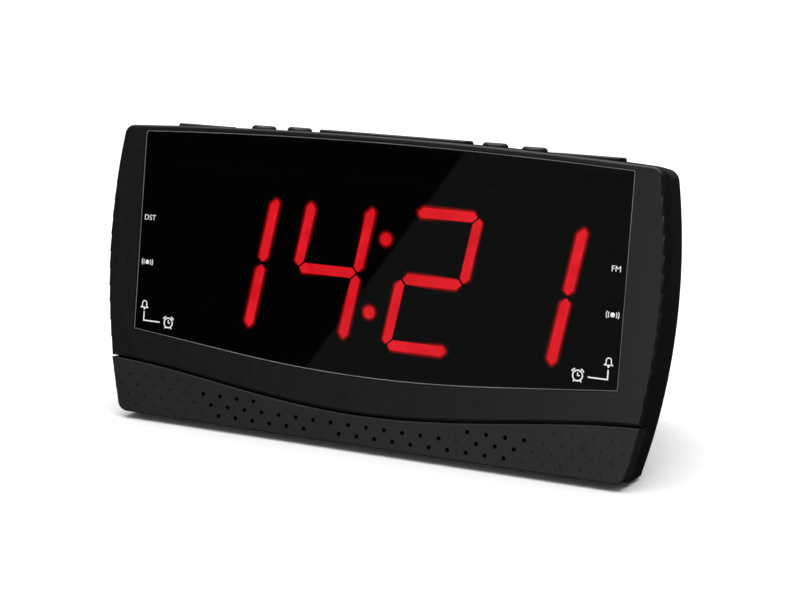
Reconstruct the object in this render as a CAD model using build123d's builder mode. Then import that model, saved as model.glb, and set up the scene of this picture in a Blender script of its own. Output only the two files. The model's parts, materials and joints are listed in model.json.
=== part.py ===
from build123d import *
from math import atan, cos, radians, sin, sqrt, tan
import os

# Clock radio with a leaning barrel-sided front slab, a smoked display lens, a perforated
# lower panel and a tapered rear housing. Millimetres. +X is the listener's right, +Y runs
# to the rear, +Z is up. The origin is on the table, under the middle of the whole set.

os.makedirs("parts", exist_ok=True)

# ---- whole set ----
DEPTH = 84.0
LEAN = 9.0
FOOT_HEIGHT = 1.5
WALL = 2.2
FIT_GAP = 0.3
SLIDE_GAP = 0.3

# ---- front slab ----
FACE_HEIGHT = 94.6
TOP_CROWN = 2.5
WIDTH_MIDDLE = 190.8
BOTTOM_NARROWING = 15.6
TOP_NARROWING = 7.2
MIDDLE_HEIGHT = 53.3
CORNER_RADIUS = 3.5
SLAB_DEPTH = 6.0
SKIRT = 2.0
FRAME_PLATE = 3.8
EDGE_ROUND = 0.9

# ---- groove between frame and lower panel: heights up the face ----
GROOVE = 0.5
PARTING_LOW = 9.45
PARTING_BEND = 12.4
PARTING_SHOULDER = 17.0
PARTING_END = 17.4
BEND_X = 42.0
SHOULDER_X = 84.0

# ---- display lens ----
SIDE_STRIP = 11.2
LENS_BOTTOM = 20.8
LENS_SMILE_HALF = 45.0
LENS_SMILE_SLOPE = 0.097
RIM_HEIGHT = 1.5
LENS_THICKNESS = 2.0
LENS_RECESS = 0.3
LENS_LEDGE = 2.0
LENS_GAP = 0.1
LENS_CORNER = 2.5
LENS_TOP_CORNER = 1.0
LENS_CHAMFER = 0.25

# ---- lower panel ----
PANEL_PLATE = 2.4
TONGUE_RISE = 3.0
HOLE_PITCH = 6.22
HOLE_RADIUS = 0.7
HOLE_ROWS = (9.03, 5.92, 2.81)
DIMPLE_RADIUS = 0.6
DIMPLE_DEPTH = 0.25
OPEN_PITCHES = (9, 8.5, 8)
HOLE_MARGIN = 3.4
BLANKED_HOLES = ((5.5, 1), (-2.0, 2))
FELT_THICKNESS = 0.8

# ---- rear housing ----
BAND_DEPTH = 9.0
BAND_INSET = 0.3
REAR_NARROWING = 33.0
DECK_STEP = 0.5
REAR_SHOULDER_HEIGHT = 52.0
REAR_HEEL = 2.0
REAR_HEEL_HEIGHT = 8.0
HOOD_RISE = 53.0
HOOD_RUN = 34.0
HOOD_RADIUS = 16.0
HOUSING_ROUND = 4.0
VENT_COUNT = 9
VENT_PITCH = 6.0
VENT_WIDTH = 2.4
VENT_HEIGHT = 16.0
VENT_CENTRE_Z = 34.0

# ---- screws that join the slab to the housing and carry the display ----
SCREW_RADIUS = 1.0
SCREW_HEAD_RADIUS = 2.0
SCREW_HEAD = 1.4
SCREW_GAP = 0.05
BOSS_RADIUS = 2.4
TAB_THICKNESS = 2.2
TAB_SIZE = 9.0
TAB_HEIGHTS = (36.0, 60.0)
TAB_EDGE = 6.3

# ---- display module, up the face ----
DIGIT_BASE = 31.7
DIGIT_TOP = 72.8
DIGIT_WIDTH = 20.9
DIGIT_SLANT = 9.9
DIGIT_RIGHTS = (-39.7, -5.7, 30.6, 64.5)
BAR_HALF = 1.5
BAR_GAP = 0.45
BAR_TIP = 0.25
BAR_ROUND = 0.45
COLON_X = 1.5
COLON_RISE = 11.4
COLON_RADIUS = 1.8
SEGMENT_DEPTH = 4.0
MODULE_SETBACK = 0.3
MODULE_THICKNESS = 8.0
MODULE_WIDTH = 154.0
MODULE_BOTTOM = 27.0
MODULE_TOP = 78.0
LAMP_X = 73.5
LAMP_HEIGHTS = (40.0, 49.0, 62.0)
LAMP_RADIUS = 1.0
BOARD = 1.6
DISPLAY_BOARD_WIDTH = 158.0
DISPLAY_BOARD_BOTTOM = 17.5
DISPLAY_BOARD_TOP = 80.0
POSTS_LOW = (62.0, 21.5)
POST_HIGH_OUT = 2.1
POST_HIGH_UP = 76.0
POST_RADIUS = 2.4

# ---- keys on the deck ----
KEY_SETBACK = 11.4
KEY_TRAVEL = 1.0
KEY_GAP = 0.35
KEY_FLANGE = 1.2
KEY_FLANGE_HEIGHT = 1.2
KEY_REST_GAP = 0.25
KEY_ROUND = 0.6
SNOOZE_LENGTH = 51.0
SNOOZE_WIDTH = 7.8
SNOOZE_HEIGHT = 1.2
SNOOZE_TO_DOME = 4.6
DOME_RADIUS = 3.9
DOME_HEIGHT = 1.6
DOME_ROUND = 0.7
DOME_TO_DOME = 5.2
DOME_TO_TIME_KEY = 7.6
TIME_KEY_LENGTH = 19.0
DOME_TO_SLEEP_KEY = 2.8
SLEEP_KEY_LENGTH = 22.0
SLAB_KEY_WIDTH = 7.2
SLAB_KEY_HEIGHT = 1.1
STEM_RADIUS = 1.6
KEY_BOARD_DROP = 12.0
KEY_BOARD_LENGTH = 156.0
KEY_BOARD_FRONT = 6.6
KEY_BOARD_REAR = 24.0
SWITCH_SIZE = 6.0
SWITCH_HEIGHT = 3.4
PLUNGER_RADIUS = 1.7
PLUNGER_HEIGHT = 0.8
KEY_POSTS = ((20.0, 21.4), (60.0, 21.4))
KEY_POST_RADIUS = 2.2

# ---- base cover: screws and feet stand in from the housing's side, front and rear ----
BASE_THICKNESS = 3.0
BASE_SCREW_EDGE_FRONT = 5.8
BASE_SCREW_EDGE_REAR = 3.5
BASE_SCREW_FROM_FRONT = 13.0
BASE_BOSS_RADIUS = 3.6
BASE_BOSS_HEIGHT = 12.0
BASE_RIB_SHIFT = 4.2
BRACKET_HOLE_DEPTH = 1.8
SCREW_LENGTH = 9.0
BOARD_SCREW_GRIP = 5.5
FOOT_RADIUS = 5.5
FOOT_SINK = 0.8
FOOT_EDGE = 15.6
FROM_REAR = 15.0
SPEAKER_SLOTS = 7
SLOT_PITCH = 5.0
SLOT_WIDTH = 2.0

# ---- battery compartment: one nine-volt block lying on its side ----
WELL_X = 7.5
WELL_LENGTH = 55.0
WELL_WIDTH = 28.0
WELL_FRONT = 4.0
WELL_HEIGHT = 20.0
WELL_WALL = 1.8
RAIL_WIDTH = 5.0
RAIL_HEIGHT = 6.0
LEDGE_THICKNESS = 1.2
DOOR_TONGUE = 2.0
DOOR_TONGUE_THICKNESS = 1.0
GRIP_COUNT = 3
GRIP_DEPTH = 0.6
SNAP_THICKNESS = 3.0
SNAP_WIDTH = 24.0
SNAP_HEIGHT = 14.0
STUD_PITCH = 12.7
STUD_RADIUS = 2.6
STUD_LENGTH = 2.0

# ---- works inside ----
SPEAKER_X = -48.0
SPEAKER_Y = -9.0
SPEAKER_RADIUS = 22.5
SPEAKER_HEIGHT = 14.0
MAGNET_RADIUS = 14.0
MAGNET_HEIGHT = 7.0
BASKET_WALL = 1.0
BASKET_RIM = 4.0
NECK_RADIUS = 12.0
CONE_HEIGHT = 5.0
CONE_WALL = 0.5
VOICE_COIL_RADIUS = 6.0
VOICE_COIL_HEIGHT = 6.5
TRANSFORMER_X = 55.0
TRANSFORMER_Y = -3.0
CORE_LENGTH = 34.0
CORE_WIDTH = 14.0
CORE_HEIGHT = 28.0
COIL_WIDTH = 26.0
BRACKET_THICKNESS = 1.0
BRACKET_SCREW_EDGE = 3.6
LEG = 5.5
YOKE = 6.0
MAIN_BOARD_Z = 34.0
MAIN_BOARD_LENGTH = 112.0
MAIN_BOARD_FRONT = -17.0
MAIN_BOARD_REAR = 27.5
MAIN_POSTS = ((-18.0, -12.5), (30.0, -12.5), (-51.5, 22.5), (44.0, 24.0))
MAIN_POST_RADIUS = 3.0
CHIPS = ((-6.0, 2.0, 36.0, 14.0), (-36.0, 2.0, 10.0, 10.0), (-10.0, 19.0, 16.0, 7.0))
CHIP_HEIGHT = 3.0
TUNER_PLACE = (-33.0, 17.0)
TUNER_LENGTH = 22.0
TUNER_WIDTH = 14.0
TUNER_HEIGHT = 8.0
TUNER_CORNER = 1.0
CAPACITOR_PLACES = ((26.0, 10.0), (38.0, 10.0), (26.0, 21.0), (40.0, -5.0))
CAPACITOR_RADIUS = 4.0
CAPACITOR_HEIGHT = 11.0
CAPACITOR_ROUND = 0.5

# ---- mains cord bush ----
BUSH_X = -30.0
BUSH_Z = 16.0
BUSH_FLANGE = 1.6
BUSH_FLANGE_RADIUS = 5.5
BUSH_RADIUS = 4.0
CORD_BORE_RADIUS = 2.6
BUSH_TAIL = 3.0

# ---- places worked out from the sizes above ----
FRONT_Y = -DEPTH / 2
REAR_Y = DEPTH / 2 - BUSH_FLANGE
WIDTH_BOTTOM = WIDTH_MIDDLE - BOTTOM_NARROWING
WIDTH_TOP = WIDTH_MIDDLE - TOP_NARROWING
LENS_WIDTH = WIDTH_MIDDLE - 2 * SIDE_STRIP
SIDE_SLOPE = REAR_NARROWING / (DEPTH - SLAB_DEPTH - BAND_DEPTH)
POSTS_HIGH = (LENS_WIDTH / 2 + POST_HIGH_OUT, POST_HIGH_UP)
INNER_DOME_X = SNOOZE_LENGTH / 2 + SNOOZE_TO_DOME + DOME_RADIUS
OUTER_DOME_X = INNER_DOME_X + 2 * DOME_RADIUS + DOME_TO_DOME
TIME_KEY_X = -OUTER_DOME_X - DOME_RADIUS - DOME_TO_TIME_KEY - TIME_KEY_LENGTH / 2
SLEEP_KEY_X = OUTER_DOME_X + DOME_RADIUS + DOME_TO_SLEEP_KEY + SLEEP_KEY_LENGTH / 2
COLUMNS = int(WIDTH_MIDDLE / 2 / HOLE_PITCH) + 3
FACE_Z = FOOT_HEIGHT + SLAB_DEPTH * sin(radians(LEAN))
DIGIT_MIDDLE = (DIGIT_BASE + DIGIT_TOP) / 2
LENS_TOP = FACE_HEIGHT - RIM_HEIGHT
LENS_BACK = LENS_RECESS + LENS_THICKNESS
MODULE_FRONT = FRAME_PLATE + MODULE_SETBACK
BOARD_FRONT = MODULE_FRONT + MODULE_THICKNESS
BASE_TOP = FOOT_HEIGHT + BASE_THICKNESS
BRACKET_LENGTH = CORE_LENGTH + 3 * LEG
BRACKET_SCREWS = [
    (TRANSFORMER_X, TRANSFORMER_Y - BRACKET_LENGTH / 2 + BRACKET_SCREW_EDGE),
    (TRANSFORMER_X, TRANSFORMER_Y + BRACKET_LENGTH / 2 - BRACKET_SCREW_EDGE),
]


def face(depth=0.0):
    """Plane parallel to the front face, a depth behind it; x across, y up the face."""
    lean = radians(LEAN)
    front = Plane(origin=(0, FRONT_Y, FACE_Z), x_dir=(1, 0, 0), z_dir=(0, -cos(lean), sin(lean)))
    return front.offset(-depth)


def crown_drop(x):
    """How far the crowned top edge has fallen at a distance from the middle."""
    return TOP_CROWN * (2 * x / WIDTH_TOP) ** 2


def deck(x=0.0, setback=0.0, drop=0.0):
    """Plane square to the face on top of the housing; x across, y to the rear."""
    lean = radians(LEAN)
    height = FACE_HEIGHT - DECK_STEP - crown_drop(x) - drop
    origin = face(setback).from_local_coords((x, height, 0))
    return Plane(origin=origin, x_dir=(1, 0, 0), z_dir=(0, sin(lean), cos(lean)))


def level(height):
    """Horizontal plane at a height above the table."""
    return Plane.XY.offset(height)


def barrel(side, top, bottom=0.0):
    """Barrel-sided outline, drawn in at the side, top and bottom, with sharp corners."""
    half_bottom = WIDTH_BOTTOM / 2 - side
    half_middle = WIDTH_MIDDLE / 2 - side
    half_top = WIDTH_TOP / 2 - side
    shoulder = FACE_HEIGHT - TOP_CROWN - top
    crest = FACE_HEIGHT - top
    with BuildSketch() as outline:
        with BuildLine():
            Line((-half_bottom, bottom), (half_bottom, bottom))
            ThreePointArc((half_bottom, bottom), (half_middle, MIDDLE_HEIGHT), (half_top, shoulder))
            ThreePointArc((half_top, shoulder), (0, crest), (-half_top, shoulder))
            ThreePointArc((-half_top, shoulder), (-half_middle, MIDDLE_HEIGHT), (-half_bottom, bottom))
        make_face()
    return outline.sketch


def slab_outline(inset=0.0):
    """Outline of the front slab with rounded corners, shrunk evenly by inset."""
    with BuildSketch() as outline:
        add(barrel(inset, inset, inset))
        fillet(outline.vertices(), CORNER_RADIUS - inset)
    return outline.sketch


def below_parting(shift=0.0):
    """Everything under the S-shaped parting line, moved up by shift."""
    far = WIDTH_MIDDLE / 2 + 5
    crest = [
        (-far, PARTING_END),
        (-SHOULDER_X, PARTING_SHOULDER),
        (-BEND_X, PARTING_BEND),
        (0, PARTING_LOW),
        (BEND_X, PARTING_BEND),
        (SHOULDER_X, PARTING_SHOULDER),
        (far, PARTING_END),
    ]
    with BuildSketch() as region:
        with BuildLine():
            Spline([(x, y + shift) for x, y in crest])
            Line((far, PARTING_END + shift), (far, -far))
            Line((far, -far), (-far, -far))
            Line((-far, -far), (-far, PARTING_END + shift))
        make_face()
    return region.sketch


def lens_outline(inset=0.0):
    """Smiling lens outline, shrunk evenly by inset."""
    half = LENS_WIDTH / 2 - inset
    smile_angle = atan(LENS_SMILE_SLOPE)
    smile_radius = LENS_SMILE_HALF / sin(smile_angle)
    low = LENS_BOTTOM + inset
    knee = low + smile_radius * (1 - cos(smile_angle))
    corner = knee + (half - LENS_SMILE_HALF) * LENS_SMILE_SLOPE
    top = LENS_TOP - inset
    top_corner = top - crown_drop(half)
    with BuildSketch() as outline:
        with BuildLine():
            Line((-half, corner), (-LENS_SMILE_HALF, knee))
            ThreePointArc((-LENS_SMILE_HALF, knee), (0, low), (LENS_SMILE_HALF, knee))
            Line((LENS_SMILE_HALF, knee), (half, corner))
            Line((half, corner), (half, top_corner))
            ThreePointArc((half, top_corner), (0, top), (-half, top_corner))
            Line((-half, top_corner), (-half, corner))
        make_face()
        corners = outline.vertices().filter_by(lambda v: abs(abs(v.X) - half) < 0.01).group_by(Axis.Y)
        fillet(corners[-1], LENS_TOP_CORNER)
        fillet(corners[0], LENS_CORNER)
    return outline.sketch


def both_sides(place):
    """A place and its mirror image across the middle of the set."""
    x, y = place
    return [(x, y), (-x, y)]


def housing_side_inset(depth):
    """Sideways inset of the housing at a depth behind the slab."""
    return BAND_INSET + SIDE_SLOPE * max(0.0, depth - BAND_DEPTH)


def floor_half(y):
    """Half width of the housing's foot at a distance to the rear."""
    return WIDTH_BOTTOM / 2 - housing_side_inset(y - FRONT_Y - SLAB_DEPTH)


def profile(inset):
    """Side profile of the housing: heel, rear face and hood, drawn in by inset."""
    hood_top = REAR_SHOULDER_HEIGHT + HOOD_RISE
    floor = -DEPTH / 2
    with BuildSketch() as side:
        with BuildLine():
            Polyline(
                (FRONT_Y - DEPTH, floor),
                (REAR_Y - REAR_HEEL, floor),
                (REAR_Y - REAR_HEEL, FOOT_HEIGHT),
                (REAR_Y, REAR_HEEL_HEIGHT),
                (REAR_Y, REAR_SHOULDER_HEIGHT),
                (REAR_Y - HOOD_RUN, hood_top),
                (FRONT_Y - DEPTH, hood_top),
                close=True,
            )
        make_face()
        corner = side.vertices().sort_by_distance((REAR_Y, REAR_SHOULDER_HEIGHT))[0]
        fillet(corner, HOOD_RADIUS)
        if inset:
            offset(amount=-inset)
    return side.sketch


def is_outer_corner(edge):
    """True for the housing's side ridges and its hood line, which are rounded."""
    on_front = abs(face(SLAB_DEPTH).to_local_coords(edge.center()).Z) < 0.05
    on_floor = abs(edge.center().Z - FOOT_HEIGHT) < 0.05
    at_side = abs(edge.center().X) > WIDTH_TOP / 4
    hood_line = edge.geom_type == GeomType.BSPLINE
    return not on_front and not on_floor and (at_side or hood_line)


def housing_core(inset, rounded=True):
    """Solid shape of the rear housing, drawn in all round by inset."""
    reach = DEPTH * 1.1
    with BuildPart() as core:
        for depth in (0.0, BAND_DEPTH, reach):
            with BuildSketch(face(SLAB_DEPTH + depth)):
                add(barrel(housing_side_inset(depth) + inset, DECK_STEP + inset))
        loft(ruled=True)
        with BuildSketch(Plane.YZ):
            add(profile(inset))
        extrude(amount=WIDTH_MIDDLE, both=True, mode=Mode.INTERSECT)
        split(bisect_by=level(FOOT_HEIGHT), keep=Keep.TOP)
        if rounded:
            fillet(core.edges().filter_by(is_outer_corner), HOUSING_ROUND - inset)
    return core.part


def save(part, label):
    """Label a finished piece and write it to its own file."""
    part.label = label
    export_step(part, f"parts/{label}.step")


def turned(plane):
    """The same place seen from behind: x stays, y and z turn over."""
    return Plane(origin=plane.origin, x_dir=plane.x_dir, z_dir=-plane.z_dir)


def turned_places(places):
    """Places for a turned plane."""
    return [(x, -y) for x, y in places]


def screw_set(plane, places, length):
    """Pan-head screws: heads stand on the plane, shanks go below it."""
    with BuildPart() as screws:
        with BuildSketch(plane):
            with Locations(*places):
                Circle(SCREW_RADIUS)
        extrude(amount=-length)
        with BuildSketch(plane):
            with Locations(*places):
                Circle(SCREW_HEAD_RADIUS)
        extrude(amount=SCREW_HEAD)
        tops = screws.faces().group_by(Axis(plane.origin, plane.z_dir))[-1]
        fillet(tops.edges(), SCREW_HEAD / 4)
        with BuildSketch(plane.offset(SCREW_HEAD)):
            with Locations(*places):
                Rectangle(SCREW_HEAD_RADIUS, SCREW_HEAD / 3)
                Rectangle(SCREW_HEAD / 3, SCREW_HEAD_RADIUS)
        extrude(amount=-SCREW_HEAD / 2, mode=Mode.SUBTRACT)
    return screws.part


# ================= front frame =================
def tab_x(height):
    """Distance from the middle of a housing tab's screw, near the slab's side."""
    rise = (height - MIDDLE_HEIGHT) / MIDDLE_HEIGHT
    return WIDTH_MIDDLE / 2 - TAB_EDGE - (WIDTH_MIDDLE - WIDTH_BOTTOM) / 2 * rise**2


TAB_PLACES = [place for height in TAB_HEIGHTS for place in both_sides((tab_x(height), height))]
POST_PLACES = both_sides(POSTS_LOW) + both_sides(POSTS_HIGH)

with BuildPart() as front_frame:
    with BuildSketch(face()):
        add(slab_outline())
        add(below_parting(GROOVE / 2), mode=Mode.SUBTRACT)
    extrude(amount=-SLAB_DEPTH)
    outer_rim = front_frame.faces().sort_by(Axis(face().origin, face().z_dir))[-1].outer_wire()
    fillet(outer_rim.edges(), EDGE_ROUND)
    with BuildSketch(face(SLAB_DEPTH)):
        add(slab_outline(SKIRT))
        add(below_parting(GROOVE / 2), mode=Mode.SUBTRACT)
    extrude(amount=SLAB_DEPTH - FRAME_PLATE, mode=Mode.SUBTRACT)
    with BuildSketch(face()):
        add(lens_outline())
    extrude(amount=-LENS_BACK, mode=Mode.SUBTRACT)
    with BuildSketch(face()):
        add(lens_outline(LENS_LEDGE))
    extrude(amount=-FRAME_PLATE, mode=Mode.SUBTRACT)
    with BuildSketch(face(FRAME_PLATE)):
        with Locations(*TAB_PLACES):
            Circle(BOSS_RADIUS)
    extrude(amount=FRAME_PLATE - SLAB_DEPTH)
    with BuildSketch(face(FRAME_PLATE)):
        with Locations(*POST_PLACES):
            Circle(POST_RADIUS)
    extrude(amount=FRAME_PLATE - BOARD_FRONT)
    with BuildSketch(face(SLAB_DEPTH)):
        with Locations(*TAB_PLACES):
            Circle(SCREW_RADIUS + SCREW_GAP)
    extrude(amount=SLAB_DEPTH - LENS_BACK, mode=Mode.SUBTRACT)
    with BuildSketch(face(BOARD_FRONT)):
        with Locations(*POST_PLACES):
            Circle(SCREW_RADIUS + SCREW_GAP)
    extrude(amount=BOARD_FRONT - FRAME_PLATE, mode=Mode.SUBTRACT)
save(front_frame.part, "front_frame")

# ================= display lens =================
with BuildPart() as display_lens:
    with BuildSketch(face(LENS_RECESS)):
        add(lens_outline(LENS_GAP))
    extrude(amount=-LENS_THICKNESS)
    front_rim = display_lens.faces().sort_by(Axis(face().origin, face().z_dir))[-1].outer_wire()
    chamfer(front_rim.edges(), LENS_CHAMFER)
save(display_lens.part, "display_lens")


# ================= lower grille panel =================
def lattice(row):
    """Hole columns of one row, in pitches from the middle, every other row half a pitch over."""
    start = 0.5 if row % 2 else 0.0
    columns = [start + step for step in range(COLUMNS) if start + step > 0]
    mirrored = [-column for column in columns]
    return sorted(mirrored + columns + ([0.0] if start == 0 else []))


def clear_of_parting(x, y):
    """True where a lattice hole has at least its own width of panel around it."""
    crest = below_parting(-GROOVE / 2 - HOLE_MARGIN * HOLE_RADIUS)
    in_outline = slab_outline(3 * HOLE_RADIUS)
    point = Vector(x, y, 0)
    return crest.face().is_inside(point) and in_outline.face().is_inside(point)


row_pitch = HOLE_ROWS[0] - HOLE_ROWS[1]
lattice_rows = {-1: HOLE_ROWS[0] + row_pitch, 0: HOLE_ROWS[0], 1: HOLE_ROWS[1], 2: HOLE_ROWS[2]}
open_holes = []
blind_dimples = []
for row, height in lattice_rows.items():
    for column in lattice(row):
        place = (column * HOLE_PITCH, height)
        if not clear_of_parting(*place):
            continue
        is_open = row >= 0 and abs(column) <= OPEN_PITCHES[row] and (column, row) not in BLANKED_HOLES
        (open_holes if is_open else blind_dimples).append(place)

with BuildPart() as grille_panel:
    with BuildSketch(face()):
        add(slab_outline())
        add(below_parting(-GROOVE / 2), mode=Mode.INTERSECT)
    extrude(amount=-SLAB_DEPTH)
    outer_rim = grille_panel.faces().sort_by(Axis(face().origin, face().z_dir))[-1].outer_wire()
    fillet(outer_rim.edges(), EDGE_ROUND / 2)
    with BuildSketch(face(SLAB_DEPTH)):
        add(slab_outline(SKIRT))
        add(below_parting(-GROOVE / 2 - SKIRT), mode=Mode.INTERSECT)
    extrude(amount=SLAB_DEPTH - PANEL_PLATE, mode=Mode.SUBTRACT)
    with BuildSketch(face(FRAME_PLATE)):
        add(slab_outline(SKIRT + FIT_GAP))
        add(below_parting(TONGUE_RISE), mode=Mode.INTERSECT)
        add(below_parting(-GROOVE / 2 - SKIRT), mode=Mode.SUBTRACT)
    extrude(amount=FRAME_PLATE - SLAB_DEPTH)
    with BuildSketch(face()):
        with Locations(*open_holes):
            Circle(HOLE_RADIUS)
    extrude(amount=-PANEL_PLATE, mode=Mode.SUBTRACT)
    with BuildSketch(face()):
        with Locations(*blind_dimples):
            Circle(DIMPLE_RADIUS)
    extrude(amount=-DIMPLE_DEPTH, mode=Mode.SUBTRACT)
save(grille_panel.part, "grille_panel")

# ================= felt strip behind the holes =================
with BuildPart() as grille_felt:
    with BuildSketch(face(PANEL_PLATE)):
        add(slab_outline(SKIRT + FIT_GAP))
        add(below_parting(-GROOVE / 2 - SKIRT - FIT_GAP), mode=Mode.INTERSECT)
    extrude(amount=-FELT_THICKNESS)
save(grille_felt.part, "grille_felt")

# ================= keys on the deck =================
DOME = 2 * DOME_RADIUS
KEYS = {
    "snooze_bar": (0.0, SNOOZE_LENGTH, SNOOZE_WIDTH, SNOOZE_HEIGHT),
    "alarm_one_key": (-OUTER_DOME_X, DOME, DOME, DOME_HEIGHT),
    "alarm_two_key": (-INNER_DOME_X, DOME, DOME, DOME_HEIGHT),
    "tune_down_key": (INNER_DOME_X, DOME, DOME, DOME_HEIGHT),
    "tune_up_key": (OUTER_DOME_X, DOME, DOME, DOME_HEIGHT),
    "time_key": (TIME_KEY_X, TIME_KEY_LENGTH, SLAB_KEY_WIDTH, SLAB_KEY_HEIGHT),
    "sleep_key": (SLEEP_KEY_X, SLEEP_KEY_LENGTH, SLAB_KEY_WIDTH, SLAB_KEY_HEIGHT),
}


def key_outline(length, width, grow=0.0):
    """Round key, or a bar with rounded corners, grown all round."""
    with BuildSketch() as outline:
        if length == width:
            Circle(length / 2 + grow)
        else:
            RectangleRounded(length + 2 * grow, width + 2 * grow, width / 4 + grow)
    return outline.sketch


def make_key(x, length, width, height):
    """Cap through the deck, a flange that stops it from lifting out, and a stem to its switch."""
    slope_room = crown_drop(abs(x) + length / 2 + KEY_FLANGE) - crown_drop(x)
    flange_top = -WALL - KEY_REST_GAP - slope_room
    board_top = deck(0, KEY_SETBACK, KEY_BOARD_DROP)
    stem_foot = SWITCH_HEIGHT + PLUNGER_HEIGHT + KEY_TRAVEL + KEY_REST_GAP
    with BuildPart() as key:
        with BuildSketch(deck(x, KEY_SETBACK).offset(height)):
            add(key_outline(length, width))
        extrude(amount=flange_top - height)
        with BuildSketch(deck(x, KEY_SETBACK).offset(flange_top)):
            add(key_outline(length, width, KEY_FLANGE))
        extrude(amount=-KEY_FLANGE_HEIGHT)
        top_face = key.faces().sort_by(Axis(deck(x).origin, deck(x).z_dir))[-1]
        fillet(top_face.edges(), height * DOME_ROUND if length == width else KEY_ROUND)
        with BuildSketch(board_top.offset(stem_foot)):
            with Locations((x, 0)):
                Circle(STEM_RADIUS)
        extrude(until=Until.NEXT)
    return key.part


for name, sizes in KEYS.items():
    save(make_key(*sizes), name)

# ================= key board and its switches =================
KEY_BOARD_TOP = deck(0, 0, KEY_BOARD_DROP)
KEY_POST_PLACES = [place for post in KEY_POSTS for place in both_sides(post)]
SWITCH_PLACES = [(sizes[0], KEY_SETBACK) for sizes in KEYS.values()]
with BuildPart() as key_board:
    with BuildSketch(KEY_BOARD_TOP):
        with Locations((0, (KEY_BOARD_FRONT + KEY_BOARD_REAR) / 2)):
            Rectangle(KEY_BOARD_LENGTH, KEY_BOARD_REAR - KEY_BOARD_FRONT)
        with Locations(*KEY_POST_PLACES):
            Circle(SCREW_RADIUS + SCREW_GAP, mode=Mode.SUBTRACT)
    extrude(amount=-BOARD)
save(key_board.part, "key_board")

with BuildPart() as tact_switches:
    with BuildSketch(KEY_BOARD_TOP):
        with Locations(*SWITCH_PLACES):
            Rectangle(SWITCH_SIZE, SWITCH_SIZE)
    extrude(amount=SWITCH_HEIGHT)
    with BuildSketch(KEY_BOARD_TOP.offset(SWITCH_HEIGHT)):
        with Locations(*SWITCH_PLACES):
            Circle(PLUNGER_RADIUS)
    extrude(amount=PLUNGER_HEIGHT)
save(tact_switches.part, "tact_switches")

key_board_under = turned(KEY_BOARD_TOP.offset(-BOARD))
key_screws = screw_set(key_board_under, turned_places(KEY_POST_PLACES), BOARD + BOARD_SCREW_GRIP)
save(key_screws, "key_board_screws")

# ================= rear housing =================
BASE_FRONT_Y = FRONT_Y + BASE_SCREW_FROM_FRONT
BASE_REAR_Y = DEPTH / 2 - FROM_REAR
FRONT_SCREW_X = floor_half(BASE_FRONT_Y) - BASE_SCREW_EDGE_FRONT
REAR_SCREW_X = floor_half(BASE_REAR_Y) - BASE_SCREW_EDGE_REAR
BASE_SCREW_PLACES = both_sides((FRONT_SCREW_X, BASE_FRONT_Y)) + both_sides((REAR_SCREW_X, BASE_REAR_Y))
BASE_RIB_PLACES = both_sides((FRONT_SCREW_X + BASE_RIB_SHIFT, BASE_FRONT_Y))
BASE_RIB_PLACES += both_sides((REAR_SCREW_X + BASE_RIB_SHIFT, BASE_REAR_Y))
TONGUE_HALF = WELL_LENGTH / 2 + DOOR_TONGUE
TONGUE_LOW = FOOT_HEIGHT + LEDGE_THICKNESS + SLIDE_GAP
TONGUE_HIGH = TONGUE_LOW + DOOR_TONGUE_THICKNESS
CHANNEL_HIGH = TONGUE_HIGH + SLIDE_GAP
RIB = 2.4

with BuildPart() as base_bosses:
    with BuildSketch(level(BASE_TOP + FIT_GAP)):
        with Locations(*BASE_SCREW_PLACES):
            Circle(BASE_BOSS_RADIUS)
        with Locations(*BASE_RIB_PLACES):
            Rectangle(4 * RIB, RIB)
    extrude(amount=BASE_BOSS_HEIGHT)
    add(housing_core(WALL / 2, rounded=False), mode=Mode.INTERSECT)

with BuildPart() as rear_housing:
    add(housing_core(0))
    add(housing_core(WALL), mode=Mode.SUBTRACT)
    with BuildSketch(face(SLAB_DEPTH)):
        with Locations(*TAB_PLACES):
            Rectangle(TAB_SIZE, TAB_SIZE)
    extrude(amount=-TAB_THICKNESS)
    with BuildSketch(KEY_BOARD_TOP):
        with Locations(*KEY_POST_PLACES):
            Circle(KEY_POST_RADIUS)
    extrude(amount=KEY_BOARD_DROP - WALL / 2 - crown_drop(KEY_POSTS[1][0]))
    add(base_bosses.part)
    with BuildSketch(face(SLAB_DEPTH)):
        with Locations(*TAB_PLACES):
            Circle(SCREW_RADIUS + SCREW_GAP)
    extrude(amount=-TAB_THICKNESS, mode=Mode.SUBTRACT)
    with BuildSketch(KEY_BOARD_TOP):
        with Locations(*KEY_POST_PLACES):
            Circle(SCREW_RADIUS + SCREW_GAP)
    extrude(amount=KEY_BOARD_DROP / 2, mode=Mode.SUBTRACT)
    with BuildSketch(level(BASE_TOP + FIT_GAP)):
        with Locations(*BASE_SCREW_PLACES):
            Circle(SCREW_RADIUS + SCREW_GAP)
    extrude(amount=SCREW_LENGTH, mode=Mode.SUBTRACT)
    for x, length, width, height in KEYS.values():
        with BuildSketch(deck(x, KEY_SETBACK).offset(height)):
            add(key_outline(length, width, KEY_GAP))
        extrude(amount=-height - 2 * WALL, mode=Mode.SUBTRACT)
    with BuildSketch(Plane.XZ.offset(-REAR_Y)):
        with Locations((BUSH_X, BUSH_Z)):
            Circle(BUSH_RADIUS + SCREW_GAP)
        with Locations((0, VENT_CENTRE_Z)):
            with GridLocations(VENT_PITCH, 0, VENT_COUNT, 1):
                SlotOverall(VENT_HEIGHT, VENT_WIDTH, rotation=90)
    extrude(amount=2 * WALL, mode=Mode.SUBTRACT)
    with BuildSketch(level(FOOT_HEIGHT)):
        with Locations((WELL_X, REAR_Y)):
            Rectangle(2 * (TONGUE_HALF + SLIDE_GAP), 4 * WALL)
    extrude(amount=CHANNEL_HIGH - FOOT_HEIGHT, mode=Mode.SUBTRACT)
save(rear_housing.part, "rear_housing")

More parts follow.
